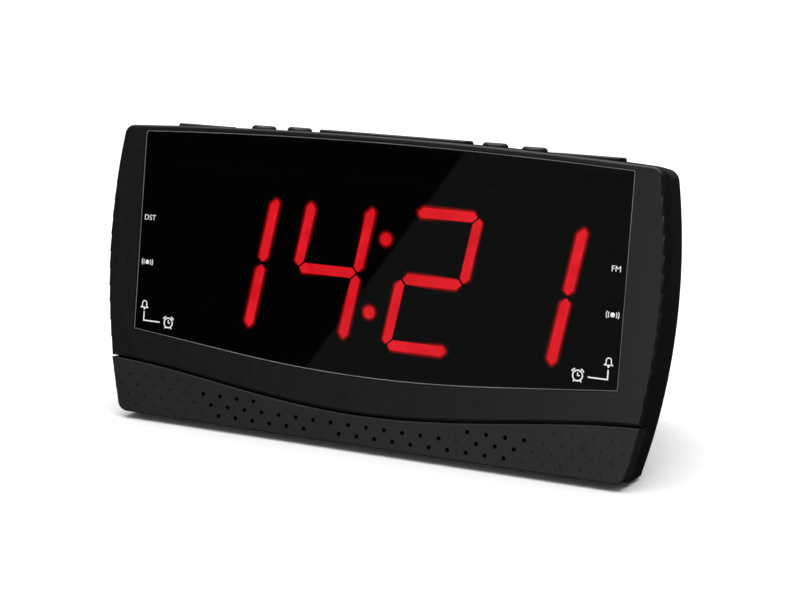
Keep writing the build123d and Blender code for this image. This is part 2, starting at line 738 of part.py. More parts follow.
with BuildPart() as cord_bush:
    with BuildSketch(Plane.XZ.offset(-REAR_Y)):
        with Locations((BUSH_X, BUSH_Z)):
            Circle(BUSH_FLANGE_RADIUS)
    extrude(amount=-BUSH_FLANGE)
    fillet(cord_bush.edges().group_by(Axis.Y)[-1], BUSH_FLANGE / 3)
    with BuildSketch(Plane.XZ.offset(-REAR_Y)):
        with Locations((BUSH_X, BUSH_Z)):
            Circle(BUSH_RADIUS)
    extrude(amount=WALL + BUSH_TAIL)
    with BuildSketch(Plane.XZ.offset(-REAR_Y)):
        with Locations((BUSH_X, BUSH_Z)):
            Circle(CORD_BORE_RADIUS)
    extrude(amount=DEPTH / 4, both=True, mode=Mode.SUBTRACT)
save(cord_bush.part, "cord_bush")

frame_screws = screw_set(
    turned(face(SLAB_DEPTH + TAB_THICKNESS)),
    turned_places(TAB_PLACES),
    TAB_THICKNESS + SLAB_DEPTH - FRAME_PLATE,
)
save(frame_screws, "frame_screws")

# ================= base cover with the battery well =================
FOOT_POINTS = [
    place for y in (BASE_FRONT_Y, BASE_REAR_Y) for place in both_sides((floor_half(y) - FOOT_EDGE, y))
]
WELL_MIDDLE_Y = WELL_FRONT + WELL_WIDTH / 2
with BuildPart() as base_plate:
    add(housing_core(WALL + FIT_GAP))
    split(bisect_by=level(BASE_TOP), keep=Keep.BOTTOM)

with BuildPart() as base_cover:
    add(base_plate.part)
    with BuildSketch(level(FOOT_HEIGHT)):
        with Locations((WELL_X, WELL_MIDDLE_Y)):
            Rectangle(WELL_LENGTH + 2 * RAIL_WIDTH, WELL_WIDTH + 2 * WELL_WALL)
    extrude(amount=RAIL_HEIGHT)
    with BuildSketch(level(FOOT_HEIGHT)):
        with Locations((WELL_X, WELL_MIDDLE_Y)):
            Rectangle(WELL_LENGTH + 2 * WELL_WALL, WELL_WIDTH + 2 * WELL_WALL)
    extrude(amount=BASE_THICKNESS + WELL_HEIGHT + WELL_WALL)
    with BuildSketch(level(FOOT_HEIGHT)):
        with Locations((WELL_X, WELL_MIDDLE_Y)):
            Rectangle(WELL_LENGTH, WELL_WIDTH)
    extrude(amount=BASE_THICKNESS + WELL_HEIGHT, mode=Mode.SUBTRACT)
    with BuildSketch(level(FOOT_HEIGHT)):
        with Locations((WELL_X, WELL_FRONT + DEPTH / 2)):
            Rectangle(WELL_LENGTH, DEPTH)
    extrude(amount=CHANNEL_HIGH - FOOT_HEIGHT, mode=Mode.SUBTRACT)
    with BuildSketch(level(FOOT_HEIGHT + LEDGE_THICKNESS)):
        with Locations((WELL_X, WELL_FRONT + DEPTH / 2)):
            Rectangle(2 * TONGUE_HALF, DEPTH)
    extrude(amount=CHANNEL_HIGH - FOOT_HEIGHT - LEDGE_THICKNESS, mode=Mode.SUBTRACT)
    with BuildSketch(level(BASE_TOP)):
        with Locations(*MAIN_POSTS):
            Circle(MAIN_POST_RADIUS)
    extrude(amount=MAIN_BOARD_Z - BASE_TOP)
    with BuildSketch(level(MAIN_BOARD_Z)):
        with Locations(*MAIN_POSTS):
            Circle(SCREW_RADIUS + SCREW_GAP)
    extrude(amount=-SCREW_LENGTH, mode=Mode.SUBTRACT)
    with BuildSketch(level(BASE_TOP)):
        with Locations((SPEAKER_X, SPEAKER_Y)):
            Circle(SPEAKER_RADIUS + FIT_GAP + WELL_WALL)
            Circle(SPEAKER_RADIUS + FIT_GAP, mode=Mode.SUBTRACT)
    extrude(amount=WALL)
    with BuildSketch(level(FOOT_HEIGHT)):
        with Locations((SPEAKER_X, SPEAKER_Y)):
            with GridLocations(SLOT_PITCH, 0, SPEAKER_SLOTS, 1):
                SlotOverall(SPEAKER_RADIUS, SLOT_WIDTH, rotation=90)
        with Locations(*BASE_SCREW_PLACES):
            Circle(SCREW_RADIUS + SCREW_GAP)
    extrude(amount=BASE_THICKNESS, mode=Mode.SUBTRACT)
    with BuildSketch(level(BASE_TOP)):
        with Locations(*BRACKET_SCREWS):
            Circle(SCREW_RADIUS + SCREW_GAP)
    extrude(amount=-BRACKET_HOLE_DEPTH, mode=Mode.SUBTRACT)
    with BuildSketch(level(FOOT_HEIGHT)):
        with Locations(*BASE_SCREW_PLACES):
            Circle(SCREW_HEAD_RADIUS + FIT_GAP)
    extrude(amount=SCREW_HEAD + FIT_GAP, mode=Mode.SUBTRACT)
    with BuildSketch(level(FOOT_HEIGHT)):
        with Locations(*FOOT_POINTS):
            Circle(FOOT_RADIUS)
    extrude(amount=FOOT_SINK, mode=Mode.SUBTRACT)
save(base_cover.part, "base_cover")

base_screws = screw_set(
    turned(level(FOOT_HEIGHT + SCREW_HEAD + FIT_GAP)), turned_places(BASE_SCREW_PLACES), SCREW_LENGTH
)
save(base_screws, "base_screws")

with BuildPart() as rubber_feet:
    with BuildSketch(level(0)):
        with Locations(*FOOT_POINTS):
            Circle(FOOT_RADIUS)
    extrude(amount=FOOT_HEIGHT + FOOT_SINK)
    chamfer(rubber_feet.edges().group_by(Axis.Z)[0], FOOT_HEIGHT / 3)
save(rubber_feet.part, "rubber_feet")

# ================= battery door and contacts =================
DOOR_FRONT = WELL_FRONT + SLIDE_GAP
DOOR_REAR = REAR_Y - REAR_HEEL
with BuildPart() as battery_door:
    with BuildSketch(level(FOOT_HEIGHT)):
        with Locations((WELL_X, (DOOR_FRONT + DOOR_REAR) / 2)):
            Rectangle(WELL_LENGTH - 2 * SLIDE_GAP, DOOR_REAR - DOOR_FRONT)
    extrude(amount=TONGUE_HIGH - FOOT_HEIGHT)
    with BuildSketch(level(TONGUE_LOW)):
        with Locations((WELL_X, (DOOR_FRONT + DOOR_REAR) / 2)):
            Rectangle(2 * (TONGUE_HALF - SLIDE_GAP), DOOR_REAR - DOOR_FRONT)
    extrude(amount=DOOR_TONGUE_THICKNESS)
    with BuildSketch(level(FOOT_HEIGHT)):
        with Locations((WELL_X, DOOR_REAR - 4 * SLOT_WIDTH)):
            with GridLocations(0, 2 * SLOT_WIDTH, 1, GRIP_COUNT):
                SlotOverall(WELL_LENGTH / 3, SLOT_WIDTH / 2)
    extrude(amount=GRIP_DEPTH, mode=Mode.SUBTRACT)
save(battery_door.part, "battery_door")

SNAP_X = WELL_X - WELL_LENGTH / 2
SNAP_Z = BASE_TOP + WELL_HEIGHT / 2
with BuildPart() as battery_snap:
    with BuildSketch(Plane.YZ.offset(SNAP_X)):
        with Locations((WELL_MIDDLE_Y, SNAP_Z)):
            Rectangle(SNAP_WIDTH, SNAP_HEIGHT)
    extrude(amount=SNAP_THICKNESS)
    with BuildSketch(Plane.YZ.offset(SNAP_X + SNAP_THICKNESS)):
        with Locations((WELL_MIDDLE_Y, SNAP_Z)):
            with GridLocations(STUD_PITCH, 0, 2, 1):
                Circle(STUD_RADIUS)
    extrude(amount=STUD_LENGTH)
save(battery_snap.part, "battery_snap")


# ================= display module =================
def slanted(right, across, height):
    """A point of a digit, leaned over with the digit; across runs from its left strokes."""
    slant = (height - DIGIT_MIDDLE) * tan(radians(DIGIT_SLANT))
    return (right - DIGIT_WIDTH + across + slant, height)


def level_stroke(height, grow):
    """Outline of a level stroke, mitred at both ends, for an upright digit."""
    half = BAR_HALF + grow
    gap = BAR_GAP - grow * sqrt(2)
    left = [(gap + half, -half), (gap, 0), (gap + half, half)]
    right = [(DIGIT_WIDTH - x, y) for x, y in reversed(left)]
    return [(x, height + y) for x, y in left + right]


def standing_stroke(side, end, grow):
    """Outline of a stroke from the digit's middle to its top (end 1) or foot (end -1)."""
    half = BAR_HALF + grow
    gap = BAR_GAP - grow * sqrt(2)
    tall = DIGIT_TOP - DIGIT_MIDDLE
    left = [
        (0, gap),
        (-half, gap + half),
        (-half, tall - gap - half + 2 * BAR_TIP),
        (-BAR_TIP, tall - gap + BAR_TIP),
        (half, tall - gap - half),
        (half, gap + half),
    ]
    return [(DIGIT_WIDTH - x if side else x, DIGIT_MIDDLE + end * y) for x, y in left]


def stroke_outlines(grow):
    """The seven strokes of an upright digit by their usual letters."""
    return {
        "a": level_stroke(DIGIT_TOP, grow),
        "b": standing_stroke(1, 1, grow),
        "c": standing_stroke(1, -1, grow),
        "d": level_stroke(DIGIT_BASE, grow),
        "e": standing_stroke(0, -1, grow),
        "f": standing_stroke(0, 1, grow),
        "g": level_stroke(DIGIT_MIDDLE, grow),
    }


LIT = ("bc", "bcfg", "abdeg", "bc")


def stroke_sketch(is_lit, grow=0.0):
    """Mitred bars of the strokes that are lit, or of those that are dark."""
    with BuildSketch() as bars:
        for right, lit in zip(DIGIT_RIGHTS, LIT):
            for stroke, outline in stroke_outlines(grow).items():
                if (stroke in lit) != is_lit:
                    continue
                with BuildLine():
                    Polyline([slanted(right, x, y) for x, y in outline], close=True)
                make_face()
        fillet(bars.vertices(), BAR_ROUND + grow)
    return bars.sketch


def colon_sketch(grow=0.0):
    """The two round dots between the hours and the minutes."""
    slant = COLON_RISE * tan(radians(DIGIT_SLANT))
    with BuildSketch() as dots:
        with Locations(
            (COLON_X + slant, DIGIT_MIDDLE + COLON_RISE), (COLON_X - slant, DIGIT_MIDDLE - COLON_RISE)
        ):
            Circle(COLON_RADIUS + grow)
    return dots.sketch


def lamp_sketch(grow=0.0):
    """The small indicator lamps beside the digits."""
    with BuildSketch() as lamps:
        with Locations(*[place for height in LAMP_HEIGHTS for place in both_sides((LAMP_X, height))]):
            Circle(LAMP_RADIUS + grow)
    return lamps.sketch


def inlay(sketch, label):
    """Save a set of light bars or dots that fill their windows in the module."""
    with BuildPart() as bars:
        with BuildSketch(face(MODULE_FRONT)):
            add(sketch)
        extrude(amount=-SEGMENT_DEPTH)
    save(bars.part, label)


with BuildPart() as display_module:
    with BuildSketch(face(MODULE_FRONT)):
        with Locations((0, (MODULE_BOTTOM + MODULE_TOP) / 2)):
            RectangleRounded(MODULE_WIDTH, MODULE_TOP - MODULE_BOTTOM, LENS_CORNER)
    extrude(amount=-MODULE_THICKNESS)
    with BuildSketch(face(MODULE_FRONT)):
        add(stroke_sketch(True, SCREW_GAP))
        add(stroke_sketch(False, SCREW_GAP))
        add(colon_sketch(SCREW_GAP))
        add(lamp_sketch(SCREW_GAP))
    extrude(amount=-SEGMENT_DEPTH, mode=Mode.SUBTRACT)
save(display_module.part, "display_module")
inlay(stroke_sketch(True), "lit_segments")
inlay(stroke_sketch(False), "dark_segments")
inlay(colon_sketch(), "colon_dots")
inlay(lamp_sketch(), "indicator_lamps")

with BuildPart() as display_board:
    with BuildSketch(face(BOARD_FRONT)):
        with Locations((0, (DISPLAY_BOARD_BOTTOM + DISPLAY_BOARD_TOP) / 2)):
            Rectangle(DISPLAY_BOARD_WIDTH, DISPLAY_BOARD_TOP - DISPLAY_BOARD_BOTTOM)
        with Locations((0, POSTS_HIGH[1])):
            SlotOverall(2 * (POSTS_HIGH[0] + POST_RADIUS), 2 * POST_RADIUS)
        with Locations(*POST_PLACES):
            Circle(SCREW_RADIUS + SCREW_GAP, mode=Mode.SUBTRACT)
    extrude(amount=-BOARD)
save(display_board.part, "display_board")
display_board_rear = turned(face(BOARD_FRONT + BOARD))
display_screws = screw_set(display_board_rear, turned_places(POST_PLACES), BOARD + BOARD_SCREW_GRIP)
save(display_screws, "display_screws")

# ================= speaker, facing down =================
CONE_EDGE = SPEAKER_RADIUS - BASKET_RIM - FIT_GAP


def turned_ring(points):
    """A ring or a disc made by turning a closed half section about the speaker's axis."""
    axis = Axis((SPEAKER_X, SPEAKER_Y, BASE_TOP), (0, 0, 1))
    with BuildPart() as ring:
        with BuildSketch(Plane(origin=axis.position, x_dir=(1, 0, 0), z_dir=(0, -1, 0))):
            with BuildLine():
                Polyline(*points, close=True)
            make_face()
        revolve(axis=axis)
    return ring.part


basket = turned_ring(
    [
        (SPEAKER_RADIUS - BASKET_RIM + BASKET_WALL, 0),
        (SPEAKER_RADIUS, 0),
        (SPEAKER_RADIUS, BASKET_WALL),
        (SPEAKER_RADIUS - BASKET_RIM + BASKET_WALL, 2 * BASKET_WALL),
        (NECK_RADIUS + BASKET_WALL, SPEAKER_HEIGHT - BASKET_WALL),
        (NECK_RADIUS + BASKET_WALL, SPEAKER_HEIGHT),
        (0, SPEAKER_HEIGHT),
        (0, SPEAKER_HEIGHT - BASKET_WALL),
        (NECK_RADIUS, SPEAKER_HEIGHT - BASKET_WALL),
        (SPEAKER_RADIUS - BASKET_RIM, 2 * BASKET_WALL),
        (SPEAKER_RADIUS - BASKET_RIM, BASKET_WALL),
    ]
)
save(basket, "speaker_basket")
cone = turned_ring(
    [
        (0, CONE_HEIGHT),
        (VOICE_COIL_RADIUS, CONE_HEIGHT - CONE_WALL),
        (CONE_EDGE, BASKET_WALL),
        (CONE_EDGE, BASKET_WALL + CONE_WALL),
        (VOICE_COIL_RADIUS, CONE_HEIGHT),
        (VOICE_COIL_RADIUS, VOICE_COIL_HEIGHT),
        (VOICE_COIL_RADIUS - CONE_WALL, VOICE_COIL_HEIGHT),
        (VOICE_COIL_RADIUS - CONE_WALL, CONE_HEIGHT + CONE_WALL),
        (0, CONE_HEIGHT + CONE_WALL),
    ]
)
save(cone, "speaker_cone")
magnet = turned_ring(
    [
        (0, SPEAKER_HEIGHT),
        (MAGNET_RADIUS, SPEAKER_HEIGHT),
        (MAGNET_RADIUS, SPEAKER_HEIGHT + MAGNET_HEIGHT),
        (0, SPEAKER_HEIGHT + MAGNET_HEIGHT),
    ]
)
save(magnet, "speaker_magnet")

# ================= mains transformer =================
COIL_SLOT = (CORE_LENGTH - 4 * LEG) / 2
CORE_FLOOR = BASE_TOP + BRACKET_THICKNESS
COIL_Z = CORE_FLOOR + CORE_HEIGHT / 2
with BuildPart() as transformer_core:
    with BuildSketch(level(CORE_FLOOR)):
        with Locations((TRANSFORMER_X, TRANSFORMER_Y)):
            Rectangle(CORE_WIDTH, CORE_LENGTH)
    extrude(amount=CORE_HEIGHT)
    with BuildSketch(Plane.YZ.offset(TRANSFORMER_X)):
        with Locations((TRANSFORMER_Y, COIL_Z)):
            with GridLocations(2 * LEG + COIL_SLOT, 0, 2, 1):
                Rectangle(COIL_SLOT, CORE_HEIGHT - 2 * YOKE)
    extrude(amount=CORE_WIDTH, both=True, mode=Mode.SUBTRACT)
save(transformer_core.part, "transformer_core")

with BuildPart() as transformer_coil:
    with BuildSketch(level(COIL_Z - CORE_HEIGHT / 2 + YOKE + SCREW_GAP)):
        with Locations((TRANSFORMER_X, TRANSFORMER_Y)):
            RectangleRounded(COIL_WIDTH, 2 * (LEG + COIL_SLOT - SCREW_GAP), LEG / 2)
            Rectangle(CORE_WIDTH + 2 * SCREW_GAP, 2 * (LEG + SCREW_GAP), mode=Mode.SUBTRACT)
    extrude(amount=CORE_HEIGHT - 2 * YOKE - 2 * SCREW_GAP)
save(transformer_coil.part, "transformer_coil")

with BuildPart() as transformer_bracket:
    with BuildSketch(level(BASE_TOP)):
        with Locations((TRANSFORMER_X, TRANSFORMER_Y)):
            Rectangle(CORE_WIDTH, BRACKET_LENGTH)
        with Locations(*BRACKET_SCREWS):
            Circle(SCREW_RADIUS + SCREW_GAP, mode=Mode.SUBTRACT)
    extrude(amount=BRACKET_THICKNESS)
    with BuildSketch(level(CORE_FLOOR)):
        with Locations((TRANSFORMER_X, TRANSFORMER_Y)):
            with GridLocations(0, CORE_LENGTH + BRACKET_THICKNESS, 1, 2):
                Rectangle(CORE_WIDTH, BRACKET_THICKNESS)
    extrude(amount=CORE_HEIGHT / 2)
save(transformer_bracket.part, "transformer_bracket")

# ================= main board and what it carries =================
MAIN_BOARD_TOP = MAIN_BOARD_Z + BOARD
BOARD_MIDDLE_Y = (MAIN_BOARD_FRONT + MAIN_BOARD_REAR) / 2
with BuildPart() as main_board:
    with BuildSketch(level(MAIN_BOARD_Z)):
        with Locations((0, BOARD_MIDDLE_Y)):
            Rectangle(MAIN_BOARD_LENGTH, MAIN_BOARD_REAR - MAIN_BOARD_FRONT)
        with Locations(*MAIN_POSTS):
            Circle(SCREW_RADIUS + SCREW_GAP, mode=Mode.SUBTRACT)
    extrude(amount=BOARD)
save(main_board.part, "main_board")
main_screws = screw_set(level(MAIN_BOARD_TOP), list(MAIN_POSTS), BOARD + BOARD_SCREW_GRIP)
save(main_screws, "main_board_screws")

with BuildPart() as main_chips:
    with BuildSketch(level(MAIN_BOARD_TOP)):
        for x, y, length, width in CHIPS:
            with Locations((x, y)):
                Rectangle(length, width)
    extrude(amount=CHIP_HEIGHT)
save(main_chips.part, "main_chips")

with BuildPart() as tuner_can:
    with BuildSketch(level(MAIN_BOARD_TOP)):
        with Locations(TUNER_PLACE):
            RectangleRounded(TUNER_LENGTH, TUNER_WIDTH, TUNER_CORNER)
    extrude(amount=TUNER_HEIGHT)
save(tuner_can.part, "tuner_can")

with BuildPart() as capacitors:
    with BuildSketch(level(MAIN_BOARD_TOP)):
        with Locations(*CAPACITOR_PLACES):
            Circle(CAPACITOR_RADIUS)
    extrude(amount=CAPACITOR_HEIGHT)
    fillet(capacitors.edges().group_by(Axis.Z)[-1], CAPACITOR_ROUND)
save(capacitors.part, "capacitors")

BRACKET_SCREW_LENGTH = BRACKET_THICKNESS + BASE_THICKNESS / 2
bracket_screw_set = screw_set(level(CORE_FLOOR), BRACKET_SCREWS, BRACKET_SCREW_LENGTH)
save(bracket_screw_set, "transformer_screws")
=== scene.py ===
import json
import math

import bmesh
import bpy
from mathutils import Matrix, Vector


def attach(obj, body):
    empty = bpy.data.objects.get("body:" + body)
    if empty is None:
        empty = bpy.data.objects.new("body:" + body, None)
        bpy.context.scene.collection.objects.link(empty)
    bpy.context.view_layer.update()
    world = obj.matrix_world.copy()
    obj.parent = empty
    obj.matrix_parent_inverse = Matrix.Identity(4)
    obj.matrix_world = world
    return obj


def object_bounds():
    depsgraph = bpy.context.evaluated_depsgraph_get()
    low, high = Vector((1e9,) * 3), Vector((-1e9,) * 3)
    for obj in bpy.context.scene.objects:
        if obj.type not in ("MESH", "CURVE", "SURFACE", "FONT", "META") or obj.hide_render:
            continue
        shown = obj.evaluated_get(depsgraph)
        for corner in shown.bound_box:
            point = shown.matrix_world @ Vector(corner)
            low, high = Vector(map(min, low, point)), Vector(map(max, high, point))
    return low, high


# Clock radio: looks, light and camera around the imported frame. Metres, in the frame's own axes.

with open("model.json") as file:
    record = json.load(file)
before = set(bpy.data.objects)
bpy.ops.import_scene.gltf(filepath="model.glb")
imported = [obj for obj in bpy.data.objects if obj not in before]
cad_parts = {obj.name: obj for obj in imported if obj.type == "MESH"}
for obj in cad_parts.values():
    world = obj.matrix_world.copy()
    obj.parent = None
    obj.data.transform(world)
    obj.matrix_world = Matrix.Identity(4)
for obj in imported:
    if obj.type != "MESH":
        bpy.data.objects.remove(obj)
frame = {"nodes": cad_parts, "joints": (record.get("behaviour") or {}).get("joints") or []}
cad_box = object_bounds()

MM = 0.001


# ---- the leaning front face, worked out from the frame ----

key_axis = next(j["axis"] for j in frame["joints"] if j["name"] == "snooze_bar_press")
LEAN = math.atan2(-key_axis[1], -key_axis[2])
ACROSS = Vector((1, 0, 0))
UP_FACE = Vector((0, math.sin(LEAN), math.cos(LEAN)))
OUT = Vector((0, -math.cos(LEAN), math.sin(LEAN)))


def reach(node, direction):
    """Least and most distance of a CAD node along a direction from the origin."""
    along = [v.co.dot(direction) for v in frame["nodes"][node].data.vertices]
    return min(along), max(along)


FACE_FRONT = reach("front_frame", OUT)[1]
FACE_FOOT = reach("grille_panel", UP_FACE)[0]
LENS_FRONT = reach("display_lens", OUT)[1]
LENS_SIDE = reach("display_lens", ACROSS)[1]
MODULE_FRONT = reach("display_module", OUT)[1]


def on_plane(x, up, out):
    """A place x across, up the face from its foot, on the plane that lies out along the face's normal."""
    return ACROSS * x + UP_FACE * (FACE_FOOT + up) + OUT * out


# ---- materials ----


class Shader:
    """A material with one Principled shader, and short ways to feed it."""

    def __init__(self, name, colour, roughness, **sockets):
        self.material = bpy.data.materials.new(name)
        self.material.use_nodes = True
        self.nodes = self.material.node_tree.nodes
        self.links = self.material.node_tree.links
        self.shader = self.nodes["Principled BSDF"]
        self.place = self.nodes.new("ShaderNodeTexCoord").outputs["Object"]
        self.set("Base Color", (*colour, 1))
        self.set("Roughness", roughness)
        for socket, value in sockets.items():
            self.set(socket.replace("_", " ").title().replace("Ior", "IOR"), value)

    def set(self, socket, value):
        self.shader.inputs[socket].default_value = value

    def noise(self, size, detail=2.0, stretch=(1, 1, 1)):
        """Noise with blobs about size metres across, closer together where stretch is over 1."""
        spread = self.nodes.new("ShaderNodeMapping")
        spread.inputs["Scale"].default_value = stretch
        self.links.new(self.place, spread.inputs["Vector"])
        noise = self.nodes.new("ShaderNodeTexNoise")
        noise.inputs["Scale"].default_value = 1 / size
        noise.inputs["Detail"].default_value = detail
        self.links.new(spread.outputs["Vector"], noise.inputs["Vector"])
        return noise.outputs["Fac"]

    def cells(self, size):
        """Rounded cells about size metres across."""
        cells = self.nodes.new("ShaderNodeTexVoronoi")
        cells.inputs["Scale"].default_value = 1 / size
        self.links.new(self.place, cells.inputs["Vector"])
        return cells.outputs["Distance"]

    def fade(self, source, low, high, start=0.3, end=0.7):
        """source from start to end, made into low to high."""
        fade = self.nodes.new("ShaderNodeMapRange")
        fade.inputs["From Min"].default_value = start
        fade.inputs["From Max"].default_value = end
        fade.inputs["To Min"].default_value = low
        fade.inputs["To Max"].default_value = high
        self.links.new(source, fade.inputs["Value"])
        return fade.outputs["Result"]

    def tint(self, source, low, high, socket="Base Color", start=0.3, end=0.7):
        """Feeds a colour socket from colour low at start to colour high at end."""
        ramp = self.nodes.new("ShaderNodeValToRGB")
        ramp.color_ramp.elements[0].position = start
        ramp.color_ramp.elements[0].color = (*low, 1)
        ramp.color_ramp.elements[1].position = end
        ramp.color_ramp.elements[1].color = (*high, 1)
        self.links.new(source, ramp.inputs["Fac"])
        self.links.new(ramp.outputs["Color"], self.shader.inputs[socket])

    def rough(self, source, low, high):
        """Feeds the roughness from low to high."""
        self.links.new(self.fade(source, low, high), self.shader.inputs["Roughness"])

    def bump(self, source, depth):
        """Raises the surface by source times depth metres, over any bump already there."""
        bump = self.nodes.new("ShaderNodeBump")
        bump.inputs["Distance"].default_value = depth
        self.links.new(source, bump.inputs["Height"])
        if self.shader.inputs["Normal"].links:
            self.links.new(self.shader.inputs["Normal"].links[0].from_socket, bump.inputs["Normal"])
        self.links.new(bump.outputs["Normal"], self.shader.inputs["Normal"])


def shades(colour, spread):
    """The colour darker and lighter by a share."""
    return [c * (1 - spread) for c in colour], [c * (1 + spread) for c in colour]


def moulded(name, colour, roughness, grain, depth, spread=0.12, **sockets):
    """Moulded plastic with a spark-eroded grain: fine cells over soft cloudy patches."""
    made = Shader(name, colour, roughness, **sockets)
    clouds = made.noise(18 * MM, detail=3)
    made.tint(clouds, *shades(colour, spread))
    made.rough(made.noise(3 * MM), roughness - 0.05, roughness + 0.05)
    made.bump(made.noise(grain, detail=4), depth)
    made.bump(made.cells(grain * 1.6), depth * 0.6)
    return made.material


def metal(name, colour, roughness, stretch, depth):
    """Plated or rolled metal with drawn-out marks and slight stains."""
    made = Shader(name, colour, roughness, metallic=1.0)
    marks = made.noise(1.2 * MM, detail=5, stretch=stretch)
    made.tint(made.noise(6 * MM, detail=3), *shades(colour, 0.15))
    made.rough(marks, roughness - 0.08, roughness + 0.12)
    made.bump(marks, depth)
    return made.material


def smoked_acrylic():
    """Smoked sheet: deep grey by the light that passes, glossy, with the faintest ripple."""
    made = Shader("smoked_acrylic", (0.08, 0.08, 0.083), 0.02, transmission_weight=1.0, ior=1.49)
    made.tint(made.noise(40 * MM), (0.076, 0.076, 0.079), (0.084, 0.084, 0.087))
    made.bump(made.noise(30 * MM, detail=1), 0.004 * MM)
    return made.material


def lit_epoxy(strength):
    """Light bar of red epoxy over two chips: even red, a touch brighter in cloudy spots."""
    made = Shader("lit_epoxy", (0.3, 0.004, 0.006), 0.4, emission_strength=strength)
    made.tint(made.noise(5 * MM), (0.82, 0.008, 0.016), (1.0, 0.016, 0.028), "Emission Color")
    return made.material


def unlit_epoxy():
    """Light bar with no current: nearly black red."""
    made = Shader("unlit_epoxy", (0.012, 0.003, 0.003), 0.5)
    made.tint(made.noise(1 * MM), (0.010, 0.002, 0.002), (0.014, 0.004, 0.004))
    return made.material


def glow_film(strength):
    """Light that leaks round a lit bar: full by the bar, gone at the film's rim."""
    made = Shader("glow_film", (0.003, 0.003, 0.003), 0.6, emission_strength=strength)
    shine = made.nodes.new("ShaderNodeAttribute")
    shine.attribute_name = "shine"
    bend = made.nodes.new("ShaderNodeMath")
    bend.operation = "POWER"
    bend.inputs[1].default_value = 2.6
    made.links.new(shine.outputs["Fac"], bend.inputs[0])
    made.tint(bend.outputs["Value"], (0, 0, 0), (1.0, 0.006, 0.012), "Emission Color", 0.0, 1.0)
    return made.material


def printed_ink():
    """Thin white screen print, a little uneven."""
    made = Shader("printed_ink", (0.72, 0.72, 0.7), 0.5)
    made.tint(made.noise(0.4 * MM), (0.6, 0.6, 0.59), (0.8, 0.8, 0.78))
    made.bump(made.noise(0.2 * MM), 0.003 * MM)
    return made.material


def felt():
    """Black felt: short tangled fibres with a sheen."""
    made = Shader("felt", (0.006, 0.006, 0.006), 0.95, sheen_weight=0.2)
    fibres = made.noise(0.3 * MM, detail=6, stretch=(3, 1, 1))
    made.tint(fibres, (0.004, 0.004, 0.004), (0.009, 0.009, 0.009))
    made.bump(fibres, 0.08 * MM)
    return made.material


def circuit_board():
    """Brown phenolic sheet with a mottled face."""
    made = Shader("circuit_board", (0.16, 0.1, 0.04), 0.55)
    made.tint(made.noise(4 * MM, detail=6), (0.13, 0.075, 0.03), (0.19, 0.12, 0.05))
    made.bump(made.noise(0.5 * MM), 0.01 * MM)
    return made.material


def wound_tape():
    """Yellow tape over a winding, with the turns showing as ridges."""
    made = Shader("wound_tape", (0.5, 0.36, 0.06), 0.35)
    turns = made.noise(1.5 * MM, stretch=(0.1, 0.1, 1))
    made.tint(turns, (0.42, 0.29, 0.04), (0.56, 0.42, 0.08))
    made.bump(turns, 0.1 * MM)
    return made.material


def laminations():
    """Varnished core steel: stacked sheets seen edge on."""
    made = Shader("laminations", (0.12, 0.12, 0.125), 0.45, metallic=0.8)
    sheets = made.noise(0.5 * MM, stretch=(0.05, 1, 0.05))
    made.tint(sheets, (0.08, 0.08, 0.085), (0.16, 0.16, 0.165))
    made.bump(sheets, 0.08 * MM)
    return made.material


SATIN_GREY = (0.0045, 0.0045, 0.0050)
GRAIN_GREY = (0.0105, 0.0105, 0.0107)
HOUSING_BLACK = (0.0035, 0.0035, 0.0037)
KEY_BLACK = (0.0030, 0.0030, 0.0033)
INNER_BLACK = (0.0025, 0.0025, 0.0025)
RUBBER_BLACK = (0.014, 0.014, 0.014)

frame_plastic = moulded("frame_plastic", SATIN_GREY, 0.38, 0.35 * MM, 0.012 * MM, specular_ior_level=0.3)
grille_plastic = moulded("grille_plastic", GRAIN_GREY, 0.5, 0.5 * MM, 0.07 * MM, specular_ior_level=0.3)
housing_plastic = moulded(
    "housing_plastic", HOUSING_BLACK, 0.55, 0.5 * MM, 0.05 * MM, specular_ior_level=0.3
)
key_plastic = moulded("key_plastic", KEY_BLACK, 0.38, 0.3 * MM, 0.01 * MM, specular_ior_level=0.4)
inner_plastic = moulded("inner_plastic", INNER_BLACK, 0.7, 0.4 * MM, 0.02 * MM, specular_ior_level=0.2)
rubber = moulded("rubber", RUBBER_BLACK, 0.8, 0.6 * MM, 0.03 * MM, specular_ior_level=0.3)
nylon = moulded("nylon", (0.012, 0.012, 0.012), 0.4, 0.3 * MM, 0.008 * MM)
sleeve = moulded("sleeve", (0.02, 0.03, 0.1), 0.3, 0.8 * MM, 0.005 * MM)
ferrite = moulded("ferrite", (0.035, 0.035, 0.038), 0.6, 0.2 * MM, 0.02 * MM)
cone_paper = moulded("cone_paper", (0.02, 0.02, 0.02), 0.9, 0.4 * MM, 0.08 * MM)
tinned = metal("tinned", (0.55, 0.55, 0.56), 0.35, (1, 6, 1), 0.01 * MM)
zinc = metal("zinc", (0.5, 0.5, 0.52), 0.3, (1, 1, 4), 0.01 * MM)
board = circuit_board()
lit_bar = lit_epoxy(10.5)

